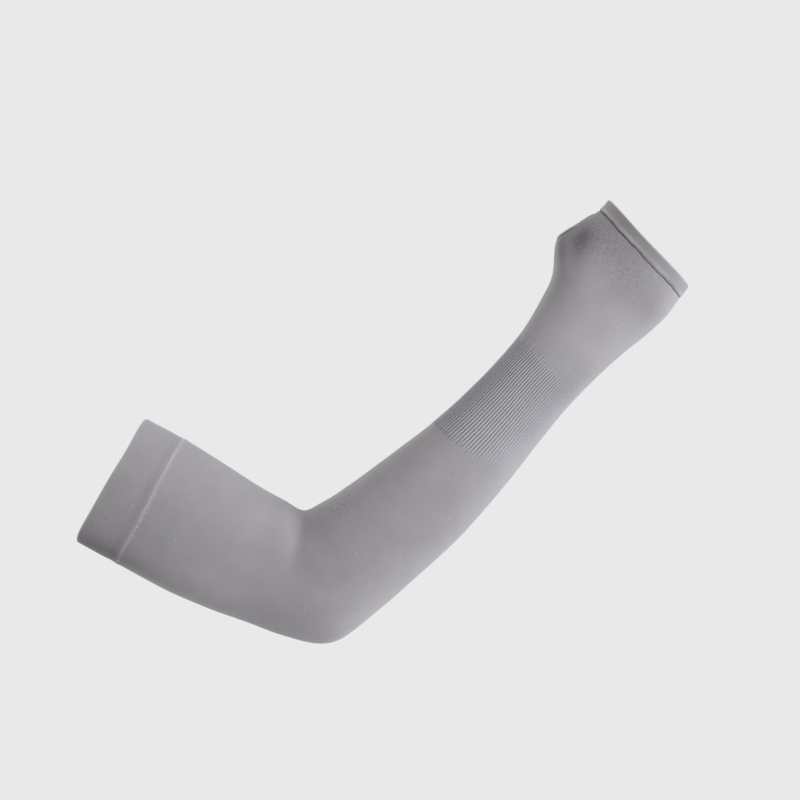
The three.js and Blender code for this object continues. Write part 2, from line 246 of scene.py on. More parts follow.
# Cross-sections along the sleeve: the middle of each in the plane of the bend, the angle of the
# run above the horizontal, width in that plane, depth across it, the power of the oval, and how
# far the sleeve is twisted there, in degrees that bring the elbow side towards the palm side
COLUMNS = ("x", "z", "rise", "width", "depth", "square", "twist")
SECTIONS = {
    "mouth": (0.0, 0.0, -29.0, 91.6, 88.0, 2.25, 0.0),
    "cuff_seam": (25.3, -13.8, -28.7, 91.8, 89.0, 2.25, 0.0),
    "upper_arm": (56.2, -31.6, -28.0, 89.6, 87.0, 2.3, 0.0),
    "upper_arm_low": (79.0, -43.6, -25.0, 85.6, 83.0, 2.3, 0.0),
    "above_crook": (101.2, -53.2, -16.0, 82.8, 79.0, 2.25, 0.0),
    "crook_upper": (117.4, -60.0, -5.0, 83.4, 76.0, 2.2, 0.0),
    "elbow": (128.9, -62.3, 5.0, 86.2, 75.0, 2.15, 0.0),
    "crook_lower": (140.6, -59.4, 15.0, 85.2, 75.0, 2.2, 0.0),
    "below_crook": (154.2, -50.2, 26.0, 79.6, 75.0, 2.3, 0.0),
    "forearm_high": (169.6, -38.5, 34.0, 75.2, 74.0, 2.4, 0.0),
    "forearm": (203.8, -10.1, 41.0, 69.8, 67.0, 2.55, 0.0),
    "rib_start": (230.9, 15.3, 44.5, 62.4, 57.0, 2.6, 0.0),
    "rib_middle": (255.9, 42.3, 47.5, 56.2, 47.0, 2.65, 0.0),
    "wrist": (275.0, 63.8, 48.3, 54.0, 43.5, 2.65, 0.0),
    "rib_end": (288.4, 79.5, 47.0, 55.6, 43.5, 2.65, -4.0),
    "heel_of_hand": (300.2, 94.9, 44.5, 61.0, 44.0, 2.65, -8.0),
    "thumb_swell": (309.6, 107.6, 43.2, 68.2, 44.6, 2.5, -7.0),
    "thumb_root": (318.5, 125.5, 42.6, 85.2, 45.8, 2.3, -1.0),
    "palm": (332.5, 137.3, 41.8, 83.2, 47.5, 2.15, 7.0),
    "hem_seam": (343.0, 146.9, 41.9, 78.0, 50.0, 2.0, 11.0),
    "hem_edge": (349.1, 154.2, 42.2, 77.0, 54.0, 2.0, 11.0),
}
TABLE = np.array(list(SECTIONS.values()))
STEPS = np.hypot(np.diff(TABLE[:, 0]), np.diff(TABLE[:, 1]))
RUNS = np.concatenate([[0.0], np.cumsum(STEPS)])
RUN = dict(zip(SECTIONS, RUNS))
SLOPES = np.vstack([
    (TABLE[1] - TABLE[0]) / (RUNS[1] - RUNS[0]),
    (TABLE[2:] - TABLE[:-2]) / (RUNS[2:] - RUNS[:-2])[:, None],
    (TABLE[-1] - TABLE[-2]) / (RUNS[-1] - RUNS[-2]),
])
THUMB_RUN = RUN["hem_seam"] - THUMB_AHEAD_OF_HEM - THUMB_EDGE_RADIUS - THUMB_LENGTH / 2

# Soft folds: run and around place the middle of each, slant is how many degrees it moves round for
# each mm along, lean how many mm it moves along for each degree round, long and wide are its half
# lengths along and round, and depth is how far it sinks, or swells where it is negative
FOLDS = (
    # at, run, around, slant, lean, long, wide, depth
    ("elbow", -8.5, 126.0, 0.0, 0.17, 8.5, 32.0, 1.35),
    ("elbow", -23.0, 132.0, 0.0, 0.17, 8.0, 26.0, -0.3),
    ("elbow", 0.0, 234.0, 0.0, 0.0, 9.0, 32.0, 2.2),
    ("elbow", 6.5, 0.0, 0.0, 0.0, 7.5, 35.0, -1.6),
    ("rib_end", -2.0, 140.0, 0.0, 0.04, 1.5, 18.0, 0.3),
    ("rib_end", 2.0, 140.0, 0.0, 0.04, 1.5, 14.0, 0.2),
    ("thumb_root", 9.0, 143.0, 0.6, 0.0, 12.0, 15.0, 3.6),
)

# Patches of painted shade, where the amount is negative, darker in hollows, in folds and on the underside,
# and of painted light, where it is positive; and where the knit is slack its courses ripple: the columns
# are those of the folds, and the last one is how much
PAINTED_LIGHT_AND_SHADE = (
    ("mouth", 19.0, 8.0, 0.0, 0.0, 20.0, 25.0, -1.35),
    ("mouth", 2.0, 18.0, 0.0, 0.0, 10.0, 22.0, -0.6),
    ("cuff_seam", 4.0, 31.0, 0.0, 0.0, 36.0, 12.0, -0.52),
    ("upper_arm_low", -5.0, 50.0, 0.0, 0.0, 30.0, 18.0, 0.28),
    ("upper_arm_low", -4.0, 66.0, 0.0, 0.0, 30.0, 14.0, 0.16),
    ("above_crook", 8.0, 95.0, 0.0, 0.0, 11.0, 24.0, -0.22),
    ("elbow", -8.5, 126.0, 0.0, 0.17, 8.5, 32.0, -0.1),
    ("elbow", 0.0, 234.0, 0.0, 0.0, 9.0, 32.0, -0.1),
    ("elbow", -13.5, 110.0, 0.0, 0.17, 4.0, 20.0, 0.18),
    ("elbow", -4.5, 108.0, 0.0, 0.17, 4.0, 18.0, -0.14),
    ("elbow", 2.5, 101.0, 0.0, 0.0, 6.5, 14.0, -0.22),
    ("below_crook", 4.0, 75.0, 0.0, 0.0, 26.0, 34.0, -0.12),
    ("below_crook", 1.0, 36.0, 0.0, 0.0, 12.0, 16.0, 0.2),
    ("forearm", 0.0, 64.0, 0.0, 0.0, 34.0, 28.0, -0.24),
    ("forearm", -12.0, 138.0, 0.0, 0.0, 45.0, 20.0, 0.18),
    ("rib_start", -8.0, 132.0, 0.0, 0.0, 12.0, 22.0, 0.15),
    ("wrist", 8.0, 52.0, 0.0, 0.0, 32.0, 26.0, -0.34),
    ("wrist", 5.0, 160.0, 0.0, 0.0, 20.0, 25.0, 0.2),
    ("rib_end", 4.0, 122.0, 0.0, 0.0, 14.0, 20.0, 0.42),
    ("heel_of_hand", 4.0, 90.0, 0.0, 0.0, 15.0, 30.0, 0.15),
    ("heel_of_hand", -4.0, 142.0, 0.0, 0.0, 16.0, 14.0, 0.3),
    ("thumb_root", 10.0, 142.0, 0.3, 0.0, 11.0, 22.0, -1.05),
    ("thumb_root", -3.0, 150.0, 0.0, 0.0, 9.0, 18.0, -0.55),
    ("palm", 2.0, 108.0, 0.0, 0.0, 15.0, 30.0, -0.18),
    ("palm", 2.0, 44.0, 0.0, 0.0, 16.0, 26.0, -0.25),
)
SLACKS = (
    ("palm", 0.0, 118.0, 0.0, 0.0, 17.0, 36.0, 1.0),
    ("palm", 6.0, 70.0, 0.0, 0.0, 14.0, 30.0, 0.5),
    ("below_crook", 10.0, 146.0, 0.0, 0.0, 20.0, 22.0, 1.4),
    ("elbow", 0.0, 60.0, 0.0, 0.0, 24.0, 40.0, 0.2),
    ("mouth", 12.0, 55.0, 0.0, 0.0, 16.0, 36.0, 0.4),
)

# Camera at the photo's angle, square to the plane of the bend, in metres, and its sensor in mm
MIDDLE = Vector((187.4, 0.0, 52.0)) * MM
VIEW_WIDTH = 0.52
VIEW_DISTANCE = 2.5
SENSOR_WIDTH = 36

# How strongly the backdrop lights the sleeve from below and from above
FILL_BELOW = 0.58
FILL_ABOVE = 0.87

# Floor, in metres, and the share of its radius that doesn't fade
FLOOR_DROP = 0.30
FLOOR_RADIUS = 0.85
FLOOR_EVEN_SHARE = 0.55


def section_at(run):
    """Each column of the sections at distances along the sleeve, by cubic curves through the rows."""
    row = np.clip(np.searchsorted(RUNS, run, side="right") - 1, 0, len(RUNS) - 2)
    span = RUNS[row + 1] - RUNS[row]
    t = (run - RUNS[row]) / span
    share = 3 * t**2 - 2 * t**3
    start = (t - 2 * t**2 + t**3) * span
    end = (t**3 - t**2) * span
    values = {}
    for column, name in enumerate(COLUMNS):
        straight = TABLE[row, column] * (1 - share) + TABLE[row + 1, column] * share
        values[name] = straight + SLOPES[row, column] * start + SLOPES[row + 1, column] * end
    return values


def bell(value, spread):
    return np.exp(-((value / spread) ** 2))


def ease(value, low, high):
    """A smooth rise from 0 at low to 1 at high."""
    t = np.clip((value - low) / (high - low), 0, 1)
    return t * t * (3 - 2 * t)


def towards_thumb(around, low, high):
    """A smooth rise from 0 on the elbow side to 1 on the thumb side, the same in front and behind,
    between two angles from the elbow side."""
    edges = -np.cos(np.radians([low, high]))
    return ease(-np.cos(np.radians(around)), *edges)


def sum_of_bells(table, run, around):
    """The folds' depth, the painted light and shade, or the slackness at each place."""
    total = np.zeros(np.broadcast(run, around).shape)
    for at, offset, middle, slant, lean, long, wide, amount in table:
        along = run - RUN[at] - offset
        turn = (around - middle - slant * along + 180) % 360 - 180
        total += amount * bell(along - lean * turn, long) * bell(turn, wide)
    return total


def unevenness(run, around):
    """The slight swell of stretched knit, a tenth of a millimetre or two."""
    turn = np.radians(around)
    # Crossing waves, each a whole number of times round and some millimetres long for each radian
    broad = np.sin(run / 19 + 2 * turn) * np.sin(3 * turn - run / 31)
    fine = np.sin(run / 7.5 - 4 * turn) * np.sin(run / 11 + 5 * turn)
    return BROAD_SWELL * broad + FINE_SWELL * fine


def hem_dip(run, around):
    """How far the rows bow towards the wrist on the palm side, more and more up to the hem."""
    growth = ease(run, RUN["thumb_swell"], RUN["hem_edge"])
    wave = sum(height * np.sin(np.radians(count * around + phase)) for height, count, phase in HEM_WAVES)
    wave = wave * bell(run - RUN["hem_seam"], HEM_WAVE_REACH)
    return growth * (PALM_HEM_DIP + wave) * bell(around - PALM_AROUND, PALM_HEM_DIP_SPREAD)


def cuff_drift(run, around):
    """How far the cuff's seam and its mouth wander up the sleeve, uneven as worn."""
    wave = SEAM_WAVE * np.sin(np.radians(SEAM_WAVES * around))
    seam = wave - SEAM_BOW * bell(around - SEAM_BOW_AROUND, SEAM_BOW_WIDE)
    mouth = sum(amount * bell(around - middle, wide) for middle, wide, amount in MOUTH_DRIFTS)
    return seam * bell(run - RUN["cuff_seam"], SEAM_DRIFT_REACH) + mouth * bell(run, MOUTH_DRIFT_REACH)


def oval_power(value, square):
    return np.sign(value) * np.abs(value) ** (2 / square)


def sleeve_points(run, around, inset):
    """Points of the sleeve in metres, inset below the knit's outer face."""
    around = around % 360
    run = run - hem_dip(run, around) - cuff_drift(run, around)
    section = section_at(run)
    turn = np.radians(around)
    rise = np.radians(section["rise"])
    sink = inset + sum_of_bells(FOLDS, run, around) - unevenness(run, around)
    across = (section["width"] / 2 - sink) * oval_power(np.cos(turn), section["square"])
    front = (section["depth"] / 2 - sink) * oval_power(np.sin(turn), section["square"])
    twist = np.radians(section["twist"])
    down = across * np.cos(twist) - front * np.sin(twist)
    front = front * np.cos(twist) + across * np.sin(twist)
    x = section["x"] + down * np.sin(rise)
    z = section["z"] - down * np.cos(rise)
    return np.stack([x, -front, z], axis=-1) * MM


def girth_lengths(run):
    """Degrees round the sleeve at a distance along it, and the length in metres to each of them."""
    around = np.linspace(0, 360, GIRTH_POINTS)
    ring = sleeve_points(np.full(around.shape, run), around, 0.0)
    return around, np.cumsum(np.linalg.norm(np.diff(ring, axis=0, prepend=ring[:1]), axis=1))


def evenly_round(run, share):
    """Degrees round the sleeve for shares of its girth at a distance along it."""
    around, length = girth_lengths(run)
    return np.interp(share, length / length[-1], around)


def linear(hex_colour):
    """An sRGB hex colour as linear RGBA."""
    channels = [int(hex_colour[i:i + 2], 16) / 255 for i in (1, 3, 5)]
    return [c / 12.92 if c <= 0.04045 else ((c + 0.055) / 1.055) ** 2.4 for c in channels] + [1.0]


def deselect():
    if bpy.context.object and bpy.context.object.mode != "OBJECT":
        bpy.ops.object.mode_set(mode="OBJECT")
    bpy.ops.object.select_all(action="DESELECT")


def flat_grid(columns, rows):
    """A flat grid, to be rolled up both ways, with the share of the way round and the row of each
    corner."""
    deselect()
    bpy.ops.mesh.primitive_grid_add(x_subdivisions=columns, y_subdivisions=rows, size=2)
    grid = bpy.context.object
    flat = np.zeros(len(grid.data.vertices) * 3)
    grid.data.vertices.foreach_get("co", flat)
    flat = flat.reshape(-1, 3)
    return grid, (flat[:, 0] + 1) / 2, np.rint((flat[:, 1] + 1) / 2 * rows).astype(int) % rows


def roll_up(grid, places, wale, course, shade, slack):
    """Moves a grid's corners to their places and sews its edges together. It keeps a map of wales and
    courses, how much lighter or darker each place is, mostly painted light and shade, and how slack."""
    mesh = grid.data
    mesh.vertices.foreach_set("co", places.ravel())
    for name, values in {"shade": shade, "slack": slack}.items():
        mesh.attributes.new(name, "FLOAT", "POINT").data.foreach_set("value", values.astype(np.float32))
    corner = np.zeros(len(mesh.loops), dtype=np.int32)
    mesh.loops.foreach_get("vertex_index", corner)
    layer = mesh.uv_layers[0]
    layer.name = "stitches"
    layer.uv.foreach_set("vector", np.stack([wale, course], axis=-1)[corner].astype(np.float32).ravel())
    mesh.update()
    bpy.ops.object.mode_set(mode="EDIT")
    bpy.ops.mesh.select_all(action="SELECT")
    bpy.ops.mesh.remove_doubles(threshold=SEWN_WITHIN)
    bpy.ops.mesh.normals_make_consistent(inside=False)
    bpy.ops.object.mode_set(mode="OBJECT")
    bpy.ops.object.shade_smooth_by_angle(angle=SMOOTH_BELOW)


def knitted_band(profile, columns, shading=None, ribbed=False):
    """A closed knitted wall round the sleeve. profile is the wall's outline, as pairs of run and inset,
    and shading gives a place's added tone, mostly painted light and shade, for its run, its degrees
    and share of the way round, and its inset."""
    grid, turn, row = flat_grid(columns, len(profile))
    run, inset = np.array(profile).T[:, row]
    around = np.zeros(len(turn))
    for i, corner in enumerate(profile):
        around[row == i] = evenly_round(corner[0], turn[row == i])
    # Painted shade and light from the patches, with the seam's trough painted darker and its ridge lighter
    shade = sum_of_bells(PAINTED_LIGHT_AND_SHADE, run, around) - SEAM_PAINTED_SHADING * seam_inset(run)
    if shading:
        shade = shade + shading(run, around, turn, inset)
    raised = np.zeros(len(turn))
    if ribbed:
        crest = np.abs(np.cos(math.pi * RIBS * turn)) - RIB_SUNK_SHARE
        outside = inset < KNIT_WALL / 2
        raised = RIB_HEIGHT * rib_share(run, turn) * crest * outside
        # Painted shade in the furrows and painted highlight on the crests
        shade = shade + RIB_PAINTED_SHADING * rib_share(run, turn) * crest * outside
    places = sleeve_points(run, around, inset - raised)
    roll_up(grid, places, turn * WALES, run / COURSE, shade, sum_of_bells(SLACKS, run, around))
    return grid


def rows_between(start, end, step):
    return list(np.linspace(start, end, math.ceil((end - start) / step) + 1))


def wall(start, end, step, inner_step):
    """The outline of a plain wall: along its outer face, which rises to the ridge beside the cuff seam,
    and back along its inner one."""
    outer = [(run, seam_inset(run)) for run in rows_between(start, end, step)]
    inner = [(run, KNIT_WALL) for run in rows_between(start, end, inner_step)]
    return outer + inner[::-1]


def seam_inset(run):
    """The outer face beside the cuff seam: a soft trough on the cuff's side, then the ridge."""
    ahead = run - RUN["cuff_seam"]
    return TROUGH_DEPTH * bell(ahead + TROUGH_BEFORE, TROUGH_SPREAD) - RIDGE_HEIGHT * bell(
        ahead - RIDGE_AFTER, RIDGE_SPREAD)


def upper_cuff():
    """The doubled cuff: a band turned over at the mouth, with a soft trough beside the seam."""
    end = RUN["cuff_seam"] - SEAM_WIDTH / 2
    radius = DOUBLED_WALL / 2
    step, inner_step = CUFF_STEPS
    outer = [(run, seam_inset(run)) for run in rows_between(radius, end, step)]
    inner = [(run, DOUBLED_WALL) for run in rows_between(radius, end, inner_step)]
    rim = []
    for angle in EDGE_ANGLES:
        rim.append((radius - radius * math.sin(angle), radius + radius * math.cos(angle)))

    # Painted highlight along the turned rim of the mouth
    def painted_rim_highlight(run, around, turn, inset):
        return CUFF_RIM_PAINTED_HIGHLIGHT * bell(run, CUFF_RIM_SPREAD)

    return knitted_band(outer + inner[::-1] + rim, CUFF_COLUMNS, painted_rim_highlight)


def cuff_seam():
    """The linked ridge between cuff and tube, with a row of slanted stitches along its tube side."""
    middle = RUN["cuff_seam"]
    half = SEAM_WIDTH / 2
    outer = [(run, seam_inset(run)) for run in rows_between(middle - half, middle + half, SEAM_STEP)]
    inner = [(middle + half, KNIT_WALL), (middle - half, KNIT_WALL)]

    # Painted highlight along the ridge's crest and painted shade in the gaps between the stitches
    def crest_light_and_gap_shade(run, around, turn, inset):
        between = np.clip(np.cos(2 * math.pi * SEAM_STITCHES * turn), 0, 1)
        crest = CREST_PAINTED_HIGHLIGHT + CREST_PAINTED_HIGHLIGHT_WAVE * np.sin(np.radians(CREST_PAINTED_HIGHLIGHT_WAVES * around))
        crest = crest * bell(run - middle - CREST_AFTER, CREST_SPREAD)
        gaps = GAP_PAINTED_SHADE - towards_thumb(around, *GAPS_FADE_BETWEEN)
        return crest - gaps * between * bell(run - middle - GAP_AFTER, GAP_SPREAD)

    ridge = knitted_band(outer + inner, SEAM_STITCHES * COLUMNS_PER_STITCH, crest_light_and_gap_shade)
    places = evenly_round(middle, (np.arange(SEAM_STITCHES) + 0.5) / SEAM_STITCHES)
    jitter = np.random.default_rng(STITCH_SEED).uniform(-1, 1, SEAM_STITCHES)
    faded = 1 - STITCH_FADE * towards_thumb(places, *STITCHES_FADE_BETWEEN)
    # Painted highlight on each stitch, fading towards the thumb
    tones = STITCH_PAINTED_HIGHLIGHT * faded * (1 + TONE_JITTER * jitter)
    stitches = [stitch(middle + STITCH_AFTER, *each) for each in zip(places, jitter, tones)]
    deselect()
    for yarn in stitches:
        yarn.select_set(True)
    ridge.select_set(True)
    bpy.context.view_layer.objects.active = ridge
    bpy.ops.object.join()
    return ridge


def stitch(run, around, jitter, tone):
    """One short slanted stitch of yarn, half sunk in the knit, some longer and steeper than others."""
    step = 0.1
    ahead = np.array([run, run + step, run])
    beside = np.array([around, around, around + step])
    place, ahead, beside = [Vector(point) for point in sleeve_points(ahead, beside, 0.0)]
    along = (ahead - place).normalized()
    outwards = (beside - place).cross(along).normalized()
    deselect()
    bpy.ops.mesh.primitive_uv_sphere_add(segments=10, ring_count=6, radius=0.5)
    yarn = bpy.context.object
    yarn.data.uv_layers[0].name = "stitches"
    # The stitch carries its painted highlight as its shade
    shade = yarn.data.attributes.new("shade", "FLOAT", "POINT").data
    shade.foreach_set("value", [tone] * len(shade))
    length = STITCH_LENGTH * (1 + LENGTH_JITTER * jitter)
    size = Matrix.Diagonal((length, STITCH_WIDTH, STITCH_HEIGHT, 1 / MM)) * MM
    slant = Matrix.Rotation(math.radians(STITCH_SLANT * (1 - SLANT_JITTER * jitter)), 4, "Z")
    lie = Matrix((along, outwards.cross(along), outwards)).transposed().to_4x4()
    yarn.data.transform(Matrix.Translation(place) @ lie @ slant @ size)
    bpy.ops.object.shade_smooth()
    return yarn


def arm_tube():
    """The plain tube from the cuff seam to the wrist, in whose last rows the first ribs start."""
    profile = wall(RUN["cuff_seam"] + SEAM_WIDTH / 2, RUN["rib_start"], *TUBE_STEPS)
    return knitted_band(profile, RIBS * TUBE_COLUMNS_PER_RIB, ribbed=True)


def rib_share(run, turn):
    """How high the ribs stand, from 0 to 1."""
    stagger = RIB_STAGGER * np.random.default_rng(RIB_SEED).uniform(-1, 1, RIBS)
    offset = stagger[np.rint(turn * RIBS).astype(int) % RIBS]
    columns = (RIB_STARTS, RIB_FADES_IN, RIB_ENDS, RIB_SHARES)
    side = np.cos(2 * math.pi * turn)
    start, fade, end, share = [np.interp(side, (-1, 0, 1), column) for column in columns]
    start = RUN["rib_start"] + start + offset
    end = RUN["rib_end"] - end + offset
    grown = ease(run, start - fade / 2, start + fade / 2)
    return share * grown * (1 - ease(run, end - RIB_FADE_OUT, end))


def wrist_rib():
    """The ribbed wrist, with a dark first course on its radial side."""

    def first_course(run, around, turn, inset):
        line = bell(run - RUN["rib_start"] - FIRST_COURSE_AFTER, FIRST_COURSE_SPREAD)
        return FIRST_COURSE_TONE * line * bell(around - FIRST_COURSE_AROUND, FIRST_COURSE_WIDE)

    profile = wall(RUN["rib_start"], RUN["rib_end"], *RIB_STEPS)
    return knitted_band(profile, RIBS * COLUMNS_PER_RIB, first_course, ribbed=True)


def hem_inset(run):
    """The outer face of the hem: a groove along its seam, a low roll and a flat band."""
    ahead = run - RUN["hem_seam"]
    return GROOVE_DEPTH * bell(ahead, GROOVE_SPREAD) - ROLL_HEIGHT * bell(
        ahead - ROLL_AFTER, ROLL_SPREAD) - HEM_PROUD


def hem_groove_shade(run, around):
    """Painted shade along the groove of the hem's seam, bolder towards the thumb."""
    tone = GROOVE_PAINTED_SHADE + GROOVE_THUMB_PAINTED_SHADE * towards_thumb(around, *HEM_TURNS_BETWEEN)
    return tone * bell(run - RUN["hem_seam"], GROOVE_PAINTED_SHADE_SPREAD)


def hand_mitt():
    """The plain hand end, with the thumb hole cut through its radial side."""
    seam = RUN["hem_seam"]
    last = seam - HALF_HEM_GAP
    step, inner_step = MITT_STEPS
    outer = [(run, 0.0) for run in rows_between(RUN["rib_end"], seam - MITT_PLAIN_REACH, step)]
    for run in rows_between(seam - GROOVE_REACH, last, MITT_GROOVE_STEP):
        outer.append((run, GROOVE_DEPTH * bell(run - seam, GROOVE_SPREAD)))
    inner = [(run, KNIT_WALL) for run in rows_between(RUN["rib_end"], last, inner_step)]
    rim = thumb_line(np.linspace(0, 2 * math.pi, THUMB_RIM_POINTS))[0]
    rim_fades = [THUMB_RUN + offset for offset in THUMB_RIM_FADES_BETWEEN]

    # Painted shade in the hem's groove, and a painted shadow line beside the rolled edge at the thumb
    # hole's wrist end
    def groove_and_thumb_rim_shade(run, around, turn, inset):
        places = sleeve_points(run, around, KNIT_WALL / 2)
        reach = np.min([np.linalg.norm(places - corner, axis=1) for corner in rim], axis=0) / MM
        wrist_end = (1 - ease(run, *rim_fades)) * (inset < KNIT_WALL)
        line = bell(reach - THUMB_EDGE_RADIUS - THUMB_RIM_OFF, THUMB_RIM_SPREAD)
        return hem_groove_shade(run, around) - THUMB_RIM_PAINTED_SHADOW * wrist_end * line

    mitt = knitted_band(outer + inner[::-1], HAND_COLUMNS, groove_and_thumb_rim_shade)
    cut_thumb_hole(mitt)
    return mitt


def cut_thumb_hole(mitt):
    """Cuts straight through the wall along the hole's edge."""
    deselect()
    bpy.ops.mesh.primitive_cylinder_add(vertices=THUMB_PLUG_CORNERS, radius=1, depth=2)
    plug = bpy.context.object
    corners = np.array([corner.co for corner in plug.data.vertices])
    middle, outwards = thumb_line(np.arctan2(corners[:, 1], corners[:, 0]))
    outwards = outwards.mean(axis=0)
    places = middle + np.outer(np.sign(corners[:, 2]), outwards) * THUMB_CUT * MM
    plug.data.vertices.foreach_set("co", places.ravel())
    plug.data.update()
    bpy.ops.object.mode_set(mode="EDIT")
    bpy.ops.mesh.select_all(action="SELECT")
    bpy.ops.mesh.normals_make_consistent(inside=False)
    bpy.ops.object.mode_set(mode="OBJECT")
    bpy.context.view_layer.objects.active = mitt
    cut = mitt.modifiers.new("thumb_hole", "BOOLEAN")
    cut.object = plug
    cut.operation = "DIFFERENCE"
    cut.solver = "EXACT"
    bpy.ops.object.modifier_apply(modifier=cut.name)
    bpy.data.objects.remove(plug)
    deselect()
    mitt.select_set(True)
    bpy.ops.object.shade_smooth_by_angle(angle=SMOOTH_BELOW)


def hand_hem():
    """The turned hem, with a rounded edge."""
    start = RUN["hem_seam"] + HALF_HEM_GAP
    end = RUN["hem_edge"]
    step, inner_step = HEM_STEPS
    inside = DOUBLED_WALL - HEM_PROUD
    radius = DOUBLED_WALL / 2
    turn_start = end - radius
    rows = rows_between(start, start + GROOVE_REACH, HEM_GROOVE_STEP)
    rows += rows_between(start + HEM_PLAIN_REACH, turn_start, step)
    profile = [(start, inside)] + [(run, hem_inset(run)) for run in rows]
    for angle in EDGE_ANGLES:
        profile.append((turn_start + radius * math.sin(angle), inside - radius - radius * math.cos(angle)))
    rows = rows_between(start + HEM_INNER_REACH, turn_start, inner_step)
    profile += [(run, inside) for run in rows[::-1]]

    # Painted shade in the groove and on the elbow side of the band, and painted highlights on the roll and
    # the edge
    def hem_painted_light_and_shade(run, around, turn, inset):
        wave = ROLL_PAINTED_HIGHLIGHT_WAVE * np.sin(np.radians(ROLL_PAINTED_HIGHLIGHT_WAVES * around))
        thumb_side = towards_thumb(around, *HEM_TURNS_BETWEEN)
        roll = ROLL_PAINTED_HIGHLIGHT + ROLL_THUMB_PAINTED_HIGHLIGHT * thumb_side + wave
        roll = roll * bell(run - RUN["hem_seam"] - ROLL_AFTER, ROLL_PAINTED_HIGHLIGHT_SPREAD)
        band = BAND_PAINTED_SHADE * (towards_thumb(around, *BAND_TURNS_BETWEEN) - 1)
        edge = (HEM_EDGE_PAINTED_HIGHLIGHT + HEM_EDGE_THUMB_PAINTED_HIGHLIGHT * thumb_side) * bell(run - end, HEM_EDGE_SPREAD)
        return hem_groove_shade(run, around) + band + roll + edge

    return knitted_band(profile, HAND_COLUMNS, hem_painted_light_and_shade)


def thumb_line(turn):
    """Points on the thumb hole's edge in the middle of the wall, and the way out of the wall there."""
    ahead = THUMB_LENGTH / 2 * oval_power(np.cos(turn), THUMB_SQUARE)
    run = THUMB_RUN + ahead
    front = THUMB_SHIFT_FRONT + THUMB_WIDTH / 2 * oval_power(np.sin(turn), THUMB_SQUARE)
    front = front - THUMB_SLANT * ahead
    section = section_at(run)
    sine = oval_power(2 * front / section["depth"], 4 / section["square"])
    around = 180 - np.degrees(np.arcsin(sine))
    middle = sleeve_points(run, around, KNIT_WALL / 2)
    outwards = sleeve_points(run, around, -1.0) - middle
    return middle, outwards / np.linalg.norm(outwards, axis=1)[:, None]


def thumb_edge():
    """The rolled edge of the thumb hole, wound with overlock thread."""
    grid, share, row = flat_grid(THUMB_WRAPS * COLUMNS_PER_WRAP, THUMB_EDGE_SIDES)
    turn = share * 2 * math.pi
    side = row / THUMB_EDGE_SIDES * 2 * math.pi
    middle, outwards = thumb_line(turn)
    step = 1e-3
    ahead = thumb_line(turn + step)[0] - thumb_line(turn - step)[0]
    sideways = np.cross(ahead, outwards)
    sideways /= np.linalg.norm(sideways, axis=1)[:, None]
    wraps = np.cos(THUMB_WRAPS * turn + WRAP_LEAN * np.sin(side))
    radius = THUMB_EDGE_RADIUS * (1 + WRAP_HEIGHT_SHARE * wraps) * MM
    ring = outwards * np.cos(side)[:, None] + sideways * np.sin(side)[:, None]
    places = middle + ring * radius[:, None]
    course = row / THUMB_EDGE_SIDES * THREAD_COURSES
    # The thread is a little lighter, with a painted highlight at the wrist end
    shade = THREAD_TONE + THREAD_WRIST_PAINTED_HIGHLIGHT * ease(-np.cos(turn), *THREAD_TURNS_BETWEEN)
    roll_up(grid, places, share * THUMB_WRAPS, course, shade, np.zeros(len(turn)))
    return grid


def node(tree, kind, settings=None, inputs=None):
    """Adds a node, with its settings, and sets or links its inputs, which are named or numbered."""
    added = tree.nodes.new(kind)
    for name, value in (settings or {}).items():
        setattr(added, name, value)
    for key, value in (inputs or {}).items():
        if isinstance(value, bpy.types.NodeSocket):
            tree.links.new(value, added.inputs[key])
        else:
            added.inputs[key].default_value = value
    return added


